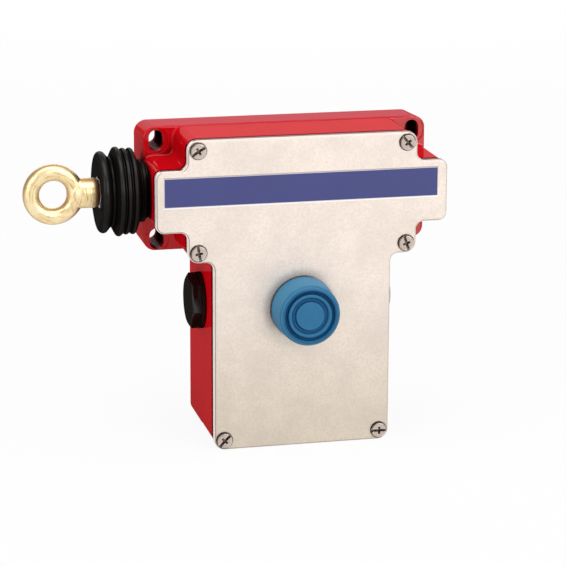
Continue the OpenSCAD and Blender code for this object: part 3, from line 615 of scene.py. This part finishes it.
def chromate_finish(colour, centre, end):
    """Yellow passivation on a forged eye: fine drawn lines round the ring, brown in hollows, in blots and at
    the shank's end, painted shade in mottled brown on the bar's flanks, and small pits. Centre is the ring's
    middle, and end the shank's end along X."""
    f = Finish("yellow_chromate", colour, Metallic=1.0)
    across, up, radius = f.polar(centre)
    round_ring = f.node("ShaderNodeCombineXYZ", None, {"X": radius * 9, "Y": across, "Z": up})
    drawn = f.noise(5, 4, 0.65, round_ring)
    mottle = f.noise(1.7, 5, 0.7, distortion=0.6)
    patch = f.noise(6.5, 3, 0.55, distortion=0.4)
    pits = f.noise(0.55, 3, 0.7).step(0.62, 0.74)
    shut_in = (1 - f.crevice(3)).step(0.1, 0.8)
    frontal = f.part(f.normal(), "Y")
    # Painted shade: faces turned sideways, the bar's flanks, are browned, mottled like the stains
    flank_shading = (frontal * frontal).step(0.62, 0.04)
    lines = drawn.step(0.48, 0.64) * patch.step(0.34, 0.56)
    tail = (f.axis("X").step(end - 3.0 * MM, end - 0.4 * MM) * (0.55 + mottle * 0.6)).low(1.0)
    blots = f.noise(3.2, 4, 0.75, distortion=0.8).step(0.55, 0.70) * 0.55
    stains_and_shade = lines * 0.75, flank_shading * (0.48 + mottle * 0.75), shut_in * 0.9, tail, blots
    brown = reduce(Signal.high, stains_and_shade).low(1.0)
    tone = f.mix(patch, shade(colour, (1.05, 1.14, 1.62)), shade(colour, (0.95, 0.88, 0.78)))
    stained_and_shaded = f.mix(brown * 0.80, tone, (0.46, 0.215, 0.06))
    stained_and_shaded = f.mix(tail, stained_and_shaded, (0.30, 0.105, 0.028))
    final = f.mix(pits * 0.35, stained_and_shaded, (0.25, 0.12, 0.03))
    rough = 0.30 + mottle * 0.14 + brown * 0.12
    surface = f.noise(2.4, 3, 0.55) * 0.6 + drawn * 0.3 + mottle * 0.3 - pits * 0.5
    return f.feed(Base_Color=final, Roughness=rough, Metallic=1 - tail * 0.7, Normal=f.bump(surface, 0.055))


def rubber_finish(name, colour, dust=0.006):
    """Moulded rubber: fine leather-like skin, dull bloom and a little lint, painted shade in the folds, and a
    sheen on open crests that is weaker on the undersides and the left end."""
    f = Finish(name, colour, Specular_IOR_Level=0.0, Coat_Roughness=0.30)
    skin = f.noise(0.45, 3, 0.6)
    bloom = f.noise(7, 4, 0.6)
    open_air = f.crevice(4.5)
    tone = f.mix(bloom * 0.8, colour, shade(colour, 1, dust * 0.5))
    # Painted shade in the folds, from ambient occlusion
    final = f.mix((1 - open_air).step(0.1, 0.8), tone, shade(colour, 0.1))
    lint = f.noise(0.9, 2, 0.8).step(0.74, 0.80)
    final = f.mix(lint * 0.35, final, shade(colour, 1, dust * 3))
    normal = f.normal()
    endways, upward = [f.part(normal, letter) for letter in "XZ"]
    sheen = (0.55 - f.grazing().step(0.25, 0.85) * 0.42) * open_air.step(0.30, 0.95) * (0.75 + bloom * 0.5)
    sheen = sheen * (0.36 + upward.step(-0.5, 0.6) * 0.64) * (1 - endways.step(-0.55, -0.97) * 0.7)
    return f.feed(Base_Color=final, Roughness=0.5 + bloom * 0.16 + lint * 0.1, Coat_Weight=sheen,
                  Normal=f.bump(skin, 0.02))


def boot_finish(colour, centre, face):
    """Satin silicone: even blue with a slight bloom, painted light on its flank and painted shade in its
    grooves and hollows. Face is the radius of its front, whose rim a painted highlight line marks."""
    f = Finish("blue_silicone", colour, Subsurface_Weight=0.06, Subsurface_Radius=(0.001, 0.002, 0.004),
               Specular_IOR_Level=0.0, Coat_Roughness=0.36)
    open_air = f.crevice(2.2)
    bloom = f.noise(8, 3, 0.55)
    skin = f.noise(0.35, 2, 0.6)
    tone = f.mix(bloom, shade(colour, 0.92), shade(colour, 1.08, 0.006))
    normal = f.normal()
    forward, upward = [f.part(normal, letter) for letter in "YZ"]
    # Painted light: the flank is mixed towards a paler blue
    flank_shading = forward.step(-0.75, -0.25) * upward.step(-0.9, 0.3)
    tone = f.mix(flank_shading * 0.34, tone, (0.085, 0.35, 0.53))
    # Painted shade on both sides of the inner groove's floor, its middle and the rim: (radius in mm, half
    # width, darkness)
    away = f.polar(centre)[2]
    rings = ((6.75, 0.28, 0.8), (7.95, 0.28, 0.8), (7.35, 0.5, 0.35), (12.7, 1.1, 0.22))
    groove_shade = reduce(Signal.high, [f.ring(away, radius, half) * share for radius, half, share in rings])
    tone = f.mix(groove_shade, tone, (0.001, 0.045, 0.14))
    # Painted highlight: a pale line just inside the rim of the front
    tone = f.mix(f.ring(away, face / MM - 0.75, 0.22) * 0.24, tone, (0.10, 0.40, 0.58))
    # Painted shade in hollows, from ambient occlusion
    final = f.mix((1 - open_air).step(0.15, 0.85) * 0.9, tone, (0.0005, 0.050, 0.19))
    sheen = (0.62 - f.grazing().step(0.30, 0.90) * 0.22) * open_air.step(0.25, 0.9) * (1 - groove_shade * 0.6)
    return f.feed(Base_Color=final, Roughness=0.40 + bloom * 0.12, Coat_Weight=sheen,
                  Normal=f.bump(skin, 0.008))


def plastic_finish(name, colour, rough=0.34):
    """Moulded plastic: satin skin that stays dull at a glance, faint flow clouds and lighter edges from a
    painted highlight.
    """
    f = Finish(name, colour, Specular_IOR_Level=0.0, Coat_Roughness=0.22)
    sheen = 0.48 - f.grazing().step(0.3, 0.75) * 0.45
    cloud = f.noise(9, 3, 0.55)
    skin = f.noise(0.4, 2, 0.6)
    tone = f.mix(cloud, shade(colour, 0.85), shade(colour, 1.12))
    # Painted highlight: edges are lighter
    final = f.mix(f.edges(0.35) * 0.5, tone, shade(colour, 1.35, 0.012))
    return f.feed(Base_Color=final, Roughness=rough + cloud * 0.12, Coat_Weight=sheen,
                  Normal=f.bump(skin, 0.008, f.rounded(0.3)))


def stripe_finish(colour):
    """Printed foil: satin colour with a pale cut edge and a faint print grain."""
    f = Finish("blue_label", colour, Specular_IOR_Level=0.4)
    centre, size = middle("label_strip")
    from_side, from_top = [
        float(size[k]) / 2 - abs(f.axis(letter) - float(centre[k])) for letter, k in (("X", 0), ("Z", 2))]
    inside = from_side.low(from_top).step(0.10 * MM, 0.34 * MM)
    print_grain = f.noise(0.3, 2, 0.6)
    cloud = f.noise(18, 3)
    tone = f.mix(cloud, shade(colour, 0.95), shade(colour, 1.06))
    speckled = f.mix(print_grain.step(0.5, 0.8) * 0.18, tone, shade(colour, 1, 0.03))
    final = f.mix(inside, (0.62, 0.60, 0.60), speckled)
    return f.feed(Base_Color=final, Roughness=0.36 + cloud * 0.1, Normal=f.bump(print_grain, 0.003))


# ---------------------------------------------------------------- operators


class PULLSWITCH_OT_casing(bpy.types.Operator):
    """Finish the painted casting, its cover, seals and stripe"""

    bl_idname = "pullswitch.casing"
    bl_label = "Casing"

    def execute(self, context):
        colours, shapes = context.scene.switch_colours, context.scene.switch_shapes
        paint = paint_finish(colours.paint, shapes.lug_front)
        polished_copy("housing", "Casting", paint, "casing")
        foot = float(middle("button_boot")[1][0]) / 2 - shapes.boot_inset
        polished_copy("front_cover", "Cover", cover_finish(colours.cover, foot), "casing")
        seals = rubber_finish("gasket_rubber", (0.003, 0.003, 0.003), dust=0.0)
        paint_nodes(seals, "cover_gasket", "plug_seal_left", "plug_seal_right")
        paint_nodes(stripe_finish(colours.stripe), "label_strip")
        return {"FINISHED"}


class PULLSWITCH_OT_fasteners(bpy.types.Operator):
    """Finish the cover screws and the blanking plugs"""

    bl_idname = "pullswitch.fasteners"
    bl_label = "Screws and plugs"

    def execute(self, context):
        colours = context.scene.switch_colours
        nickel = plated_finish("nickel", colours.nickel, rough=0.18)
        polished_copy("cover_screws", "CoverScrews", nickel, "casing")
        plug = plastic_finish("black_plastic", colours.plug)
        for side in ("left", "right"):
            polished_copy(f"blanking_plug_{side}", f"Plug_{side}", plug, "casing")
        return {"FINISHED"}


class PULLSWITCH_OT_bellows(bpy.types.Operator):
    """Build the rubber bellows as one wall"""

    bl_idname = "pullswitch.bellows"
    bl_label = "Bellows"

    def execute(self, context):
        shapes = context.scene.switch_shapes
        low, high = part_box("bellows")
        foot = np.array([high.x, (low.y + high.y) / 2, (low.z + high.z) / 2])
        # (radius, distance from the casting, rounding) in millimetres: collar, three close folds, a deep
        # valley, the end fold and its dished face
        outer = np.array([
            [12.4, 0.0, 0.2], [12.4, 1.2, 0.3], [13.9, 1.5, 0.3], [14.1, 2.6, 0.3], [13.6, 3.4, 0.3],
            [15.6, 4.5, 0.5], [21.2, 6.75, 1.1], [17.3, 8.25, 0.4], [21.1, 9.8, 1.1], [17.5, 11.3, 0.4],
            [22.1, 12.8, 1.3], [15.0, 16.3, 0.8], [20.8, 21.1, 2.0], [15.0, 22.2, 1.0], [11.0, 18.9, 1.0]])
        grip = shapes.bellows_grip / MM
        inner = np.array([
            [grip + 0.2, 19.4, 0.4], [grip, 17.8, 0.3], [11.6, 17.2, 0.8], [15.3, 20.5, 0.6],
            [17.9, 20.2, 0.8], [13.3, 16.3, 0.7], [19.0, 12.8, 1.0], [16.0, 11.3, 0.4], [18.7, 9.8, 0.8],
            [15.9, 8.2, 0.4], [18.7, 6.75, 0.8], [12.4, 4.5, 0.5], [11.2, 2.0, 0.3], [11.0, 0.0, 0.2]])
        corners = np.vstack([outer, inner])
        line = rounded_line(corners[:, :2], corners[:, 2], steps=9)
        profile = dense_line(line, 0.5) * MM
        piece = grid_piece(
            "Bellows", [(turned(profile, foot, "-X", 192), True, True)],
            rubber_finish("black_rubber", context.scene.switch_colours.rubber), None, ("bellows",))
        # Where the collar ends and where the lip at the shank begins
        collar, lip = 4.5 * MM, 1.5 * MM
        start, end = foot.copy(), foot.copy()
        start[0] -= collar
        end[0] = low.x + lip
        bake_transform(piece)
        return {"FINISHED"}


class PULLSWITCH_OT_reset(bpy.types.Operator):
    """Build the reset button's boot"""

    bl_idname = "pullswitch.reset"
    bl_label = "Reset button"

    def execute(self, context):
        low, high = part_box("button_boot")
        foot = np.array([(low.x + high.x) / 2, high.y, (low.z + high.z) / 2])
        shapes = context.scene.switch_shapes
        seat, height = (high.x - low.x) / 2 / MM, (high.y - low.y) / MM
        base, face, rim = seat - shapes.boot_inset / MM, seat - 1.5, shapes.boot_rim / MM
        # (radius, distance from the cover, rounding) in millimetres: flank, rim, outer groove, ring, inner
        # groove and middle, closed by a flat inside 3.2 mm behind the front
        outer = np.array([
            [base - 0.35, 0.0, 0.1], [base, 0.5, 0.3], [base - 0.1, 1.2, 0.4], [face, height, rim],
            [11.6, height, 0.5], [11.35, height - 2.3, 0.5], [9.95, height - 2.3, 0.5],
            [9.75, height - 0.1, 0.4], [8.55, height - 0.1, 0.4], [8.25, height - 1.35, 0.4],
            [6.6, height - 1.35, 0.4], [6.35, height, 0.4]])
        line = rounded_line(
            np.vstack([outer[:, :2], [[0.0, height], [0.0, height - 3.2], [face - 2.0, height - 3.2],
                                      [base - 2.2, 0.0]]]),
            np.concatenate([outer[:, 2], [0, 0, 0.8, 0.1]]), steps=9)
        line[:, 0] = np.maximum(line[:, 0], 0)
        profile = dense_line(line, 0.6) * MM
        profile[profile[:, 0] < 0.1 * MM, 0] = 0
        piece = grid_piece(
            "Boot", [(turned(profile, foot, "-Y", 160), True, True)],
            boot_finish(context.scene.switch_colours.boot, foot, face * MM), None, ("button_boot",))
        # Where the foot ends and where the front begins
        still, front = 1.0 * MM, 2.0 * MM
        start, end = foot.copy(), foot.copy()
        start[1] -= still
        end[1] = low.y + front
        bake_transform(piece)
        return {"FINISHED"}


class PULLSWITCH_OT_eye(bpy.types.Operator):
    """Build the forged eye, a ring whose bar swells into a round-ended shank, and the lock nut behind it"""

    bl_idname = "pullswitch.eye"
    bl_label = "Eye"

    def execute(self, context):
        shapes = context.scene.switch_shapes
        low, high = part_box("eye_bolt")
        bar, shank = shapes.eye_bar, shapes.eye_shank
        outer = (high.z - low.z) / 2
        ring = outer - bar
        centre = np.array([low.x + outer, (low.y + high.y) / 2, (low.z + high.z) / 2])
        # The ring: its bar's radius grows in a bell curve towards the shank, and its section is a circle
        # whose radius ripples four times round, which flattens the front and the back
        growth, spread, ripple = 0.10, 0.45, 0.02
        round_ring = np.linspace(0, 2 * math.pi, 160, endpoint=False)[:, None]
        section = np.linspace(0, 2 * math.pi, 64, endpoint=False)[None, :]
        from_shank = (round_ring + math.pi) % (2 * math.pi) - math.pi
        swell = 1 + growth * np.exp(-(from_shank / spread) ** 2)
        size = bar * swell * (1 - ripple * np.cos(4 * section))
        away = ring + size * np.cos(section)
        forward = size * np.sin(section) + 0 * round_ring
        ring_points = centre + np.stack([away * np.cos(round_ring), forward, away * np.sin(round_ring)], -1)
        # The shank, turned about the rod's axis: a chamfered end, a plain length and a nose in the ring that
        # is a little flatter than a half ball
        end = high.x - centre[0] - shapes.nut_lip
        full = ring + 3.4 * MM
        flatness = 0.92
        t = np.linspace(0, math.pi / 2, 24)[:, None]
        nose = np.hstack([shank * np.sin(t), full - (shank * flatness) * np.cos(t)])
        tail = rounded_line(
            np.array([[0.0, end / MM], [shank / MM - 0.9, end / MM], [shank / MM, end / MM - 0.9],
                      [shank / MM, full / MM]]),
            [0, 0.35, 0.5, 0], steps=6, closed=False)[::-1] * MM
        profile = np.vstack([nose, tail])
        profile[0, 0] = profile[-1, 0] = 0
        shank_points = turned(profile, centre, "+X", 96)
        finish = chromate_finish(context.scene.switch_colours.chromate, centre, float(centre[0] + end))
        eye = grid_piece(
            "Eye", [(ring_points, True, True), (shank_points, False, True)], finish, "rod", ("eye_bolt",))
        self.nut(shapes)
        # Forging leaves one skin with soft hollows where ring and shank meet
        skin = eye.modifiers.new("OneSkin", "REMESH")
        skin.mode, skin.voxel_size, skin.use_smooth_shade = "VOXEL", 0.3 * MM, True
        soft = eye.modifiers.new("SoftHollows", "SMOOTH")
        soft.factor, soft.iterations = 0.5, 14
        return {"FINISHED"}

    def nut(self, shapes):
        """The lock nut: six flats, that is a turned profile with six steps round, chamfered at both ends."""
        low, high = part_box("lock_nut")
        corner = max(high.y - low.y, high.z - low.z) / 2
        length = high.x - low.x + shapes.nut_lip
        seat = np.array([low.x - shapes.nut_lip, (low.y + high.y) / 2, (low.z + high.z) / 2])
        bevel = 0.5 * MM
        profile = np.array([
            [0, 0], [corner - 2 * bevel, 0], [corner, bevel], [corner, length - bevel],
            [corner - 2 * bevel, length], [0, length]])
        zinc = plated_finish("bright_zinc", (0.92, 0.92, 0.90), rough=0.14, crevice_shade=0.1)
        grid_piece("LockNut", [(turned(profile, seat, "+X", 6), False, True)], zinc, "rod", ("lock_nut",),
                   smooth=False)


class PULLSWITCH_OT_mechanism(bpy.types.Operator):
    """Finish the pieces inside the casing and build the three springs"""

    bl_idname = "pullswitch.mechanism"
    bl_label = "Mechanism"

    def execute(self, context):
        colours = context.scene.switch_colours
        zinc = plated_finish("steel", colours.zinc, rough=0.3, crevice_shade=0.6)
        paint_nodes(zinc, "pull_rod", "spring_collar", "trip_cam", "guide_bracket", "bracket_screws",
                    "roller_pin", "latch_lever", "latch_pin", "contact_plate", "contact_screws",
                    "button_bushing", "button_nut")
        wire = plated_finish("spring_steel", (0.46, 0.46, 0.48), rough=0.22, crevice_shade=0.5)
        paint_nodes(wire, "collar_pin", "cam_pin", "button_circlip")
        paint_nodes(plated_finish("bronze", colours.bronze, rough=0.3, crevice_shade=0.6), "guide_bush_left",
                    "guide_bush_right", "terminal_screws", "earth_screw", "earth_clamp")
        paint_nodes(plastic_finish("contact_plastic", (0.08, 0.09, 0.10)), "contact_block_left",
                    "contact_block_right")
        paint_nodes(plastic_finish("white_plastic", (0.72, 0.72, 0.68), 0.3), "trip_carriage", "button_head")
        paint_nodes(plastic_finish("red_plastic", (0.55, 0.03, 0.02), 0.3), "contact_plunger_left",
                    "contact_plunger_right")
        paint_nodes(plastic_finish("roller_plastic", (0.02, 0.02, 0.02), 0.3), "follower_roller")
        self.springs(context, wire)
        return {"FINISHED"}

    def springs(self, context, wire):
        """Three coils stand for the CAD's ringed springs, each in its CAD node's place."""
        shapes = context.scene.switch_shapes
        # The last number is the wire's radius over the coil's. Rigid is a tenth of the length at each end
        rows = (
            ("rod_spring", "RodSpring", "X", "rod", shapes.rod_spring_turns, 0.16),
            ("carriage_spring", "CarriageSpring", "Z", "carriage", shapes.small_spring_turns, 0.13),
            ("button_spring", "ButtonSpring", "Y", "button", shapes.small_spring_turns, 0.13))
        rigid = 0.10
        for node, name, letter, body, turns, wire_share in rows:
            low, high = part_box(node)
            k = "XYZ".index(letter)
            radius = (high[(k + 1) % 3] - low[(k + 1) % 3]) / 2
            length = high[k] - low[k]
            thick = radius * wire_share
            centre = np.array((low + high) / 2)
            centre[k] = low[k]
            coil = helix(centre, "+" + letter, radius - thick, thick, length, turns)
            piece = grid_piece(name, [(coil, False, True)], wire, None, (node,))
            start, end = centre.copy(), centre.copy()
            start[k], end[k] = low[k] + rigid * length, high[k] - rigid * length
            if self.fixed_end(node) == "high":
                start, end = end, start
            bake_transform(piece)

    @staticmethod
    def fixed_end(node):
        """Which end of a spring the record holds still."""
        for joint in frame["joints"]:
            for row in joint.get("deforming_nodes", []):
                if row["node"] == node:
                    low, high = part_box(node)
                    letter = row["mode"][-1]
                    k = "xyz".index(letter)
                    held = row[f"fixed_end_{letter}_m"]
                    return "low" if abs(held - low[k]) < abs(held - high[k]) else "high"
        raise RuntimeError(f"no joint deforms {node}")


class PULLSWITCH_OT_studio(bpy.types.Operator):
    """Set the pale floor, the soft lamps and the camera"""

    bl_idname = "pullswitch.studio"
    bl_label = "Studio"

    def execute(self, context):
        studio = context.scene.switch_studio
        low, high = CAD_BOX
        self.floor(studio, low[2])
        self.room(context, studio)
        target = Vector([(a + b) / 2 for a, b in zip(low, high)])
        for name, power, size, place in LAMPS:
            self.softbox(name, getattr(studio, power), size, Vector(place), target)
        self.camera(context, studio)
        context.scene.view_settings.view_transform = "Standard"
        return {"FINISHED"}

    def floor(self, studio, height):
        reach = np.linspace(-7.0, 7.0, 3)
        u, v = np.meshgrid(reach, reach, indexing="ij")
        f = Finish("studio_floor", (studio.floor_shade,) * 3, Roughness=0.9, Specular_IOR_Level=0.0)
        white = f.node("ShaderNodeEmission", None, {"Color": (1, 1, 1, 1), "Strength": 1.0})
        far = f.node("ShaderNodeVectorMath", {"operation": "LENGTH"}, {0: f.place()}, "Value").step(0.05, 0.9)
        lit = Signal(f, f.shader.outputs[0])
        # A little of the floor's own shade stays, so that it keeps the object's shadow
        pale = f.node("ShaderNodeMixShader", None, {0: 0.92, 1: lit, 2: white})
        floor = f.whitened(lit, pale, 0.55 + far * 0.35)
        f.tree.links.new(floor.socket, f.tree.nodes["Material Output"].inputs["Surface"])
        piece = grid_piece("Floor", [(np.stack([u, v, 0 * u + height], -1), False, False)], f.material, None)
        if piece.data.polygons[0].normal.z < 0:
            piece.data.flip_normals()

    def room(self, context, studio):
        world = bpy.data.worlds.new("Room")
        world.use_nodes = True
        nodes = Nodes(world.node_tree)
        dim, white = [
            nodes.node("ShaderNodeBackground", None, {"Color": (1, 1, 1, 1), "Strength": strength})
            for strength in (studio.room, 1.0)]
        sky = nodes.whitened(dim, white, studio.room_mirrored)
        nodes.tree.links.new(sky.socket, nodes.tree.nodes["World Output"].inputs["Surface"])
        context.scene.world = world

    def softbox(self, name, power, size, place, target):
        lamp = bpy.data.lights.new(name, "AREA")
        lamp.shape = "RECTANGLE"
        lamp.size, lamp.size_y = size
        lamp.energy = power
        holder = bpy.data.objects.new(name, lamp)
        bpy.context.scene.collection.objects.link(holder)
        facing = (target - place).to_track_quat("-Z", "Y").to_matrix().to_4x4()
        holder.matrix_world = Matrix.Translation(place) @ facing

    def camera(self, context, studio):
        turn, tilt, roll = (math.radians(a) for a in studio.camera_turn)
        eye = bpy.data.cameras.new("Camera")
        eye.lens = studio.lens
        eye.sensor_width = 36.0
        holder = bpy.data.objects.new("Camera", eye)
        context.scene.collection.objects.link(holder)
        holder.matrix_world = (
            Matrix.Translation(studio.camera_place) @ Matrix.Rotation(turn, 4, "Z")
            @ Matrix.Rotation(math.pi / 2 - tilt, 4, "X") @ Matrix.Rotation(roll, 4, "Z"))
        context.scene.camera = holder


class PULLSWITCH_PT_sidebar(bpy.types.Panel):
    """The switch's settings and the steps that build it"""

    bl_label = "Rope Pull Switch"
    bl_idname = "PULLSWITCH_PT_sidebar"
    bl_space_type = "VIEW_3D"
    bl_region_type = "UI"
    bl_category = "Pull Switch"

    def draw(self, context):
        for group in ("switch_colours", "switch_shapes", "switch_studio"):
            box = self.layout.box()
            settings = getattr(context.scene, group)
            for name in settings.__annotations__:
                box.prop(settings, name)
        for step in STEPS:
            self.layout.operator(step.bl_idname)


STEPS = (
    PULLSWITCH_OT_casing, PULLSWITCH_OT_fasteners, PULLSWITCH_OT_bellows, PULLSWITCH_OT_reset,
    PULLSWITCH_OT_eye, PULLSWITCH_OT_mechanism, PULLSWITCH_OT_studio)
GROUPS = {"switch_colours": SwitchColours, "switch_shapes": SwitchShapes, "switch_studio": SwitchStudio}


def register():
    for kind in (*GROUPS.values(), *STEPS, PULLSWITCH_PT_sidebar):
        bpy.utils.register_class(kind)
    for name, group in GROUPS.items():
        setattr(bpy.types.Scene, name, bpy.props.PointerProperty(type=group))


def unregister():
    for name in GROUPS:
        delattr(bpy.types.Scene, name)
    for kind in (PULLSWITCH_PT_sidebar, *reversed(STEPS), *reversed(tuple(GROUPS.values()))):
        bpy.utils.unregister_class(kind)


def main():
    register()
    for step in STEPS:
        family, name = step.bl_idname.split(".")
        getattr(getattr(bpy.ops, family), name)()


if __name__ == "__main__":
    main()
